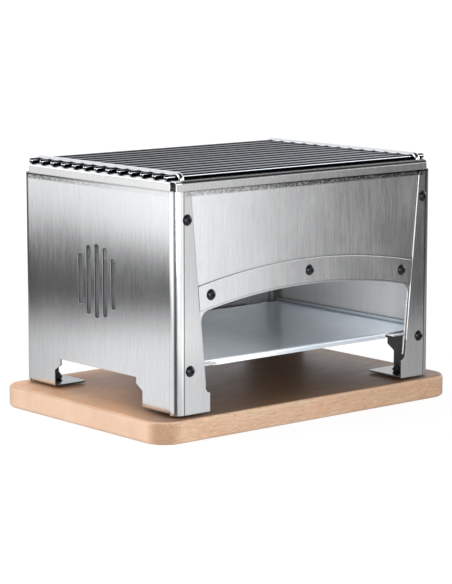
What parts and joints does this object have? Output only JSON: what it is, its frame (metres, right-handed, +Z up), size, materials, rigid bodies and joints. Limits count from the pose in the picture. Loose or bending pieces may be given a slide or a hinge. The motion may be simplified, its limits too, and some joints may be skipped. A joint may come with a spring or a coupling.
{
  "type": "portable tabletop charcoal grill",
  "caption": "Portable stainless steel tabletop charcoal grill with a lift-off rod grate, a lift-out fire box, an arched front opening and a shelf, standing on a wooden serving board.",
  "frame": {"origin": "centre of the serving board's underside, which is the bottom centre of the whole object's box", "axes": "+X along the long front, to the right for a person facing the arched opening; +Y from the front to the back; +Z up"},
  "size_m": [0.38, 0.256, 0.249],
  "materials": {
    "beech": "satin",
    "brushed_steel": "brushed",
    "rod_steel": "polished",
    "black_fastener": "satin",
    "zinc_nut": "satin",
    "black_rubber": "matte"
  },
  "bodies": {
    "board": {"serving_board": "beech"},
    "grill": {"left_end_housing": "brushed_steel", "right_end_housing": "brushed_steel", "front_panel": "brushed_steel", "back_panel": "brushed_steel", "arch_strap": "brushed_steel", "front_housing_screws": "black_fastener", "back_housing_screws": "black_fastener", "arch_strap_screws": "black_fastener", "front_housing_nuts": "zinc_nut", "back_housing_nuts": "zinc_nut", "arch_strap_nuts": "zinc_nut", "front_left_foot": "black_rubber", "front_right_foot": "black_rubber", "back_left_foot": "black_rubber", "back_right_foot": "black_rubber"},
    "fire_box": {"fire_box": "brushed_steel"},
    "grate": {"grate_bars": "rod_steel", "left_cross_rod": "rod_steel", "right_cross_rod": "rod_steel"},
    "shelf": {"shelf": "brushed_steel"}
  },
  "joints": [
    {"name": "grill_lift", "type": "slide", "parent": "board", "child": "grill", "axis": [0, 0, 1], "range_m": [0, 0.06]},
    {"name": "fire_box_lift", "type": "slide", "parent": "grill", "child": "fire_box", "axis": [0, 0, 1], "range_m": [0, 0.09]},
    {"name": "grate_lift", "type": "slide", "parent": "fire_box", "child": "grate", "axis": [0, 0, 1], "range_m": [0, 0.05]},
    {"name": "shelf_lift", "type": "slide", "parent": "grill", "child": "shelf", "axis": [0, 0, 1], "range_m": [0, 0.06]}
  ]
}
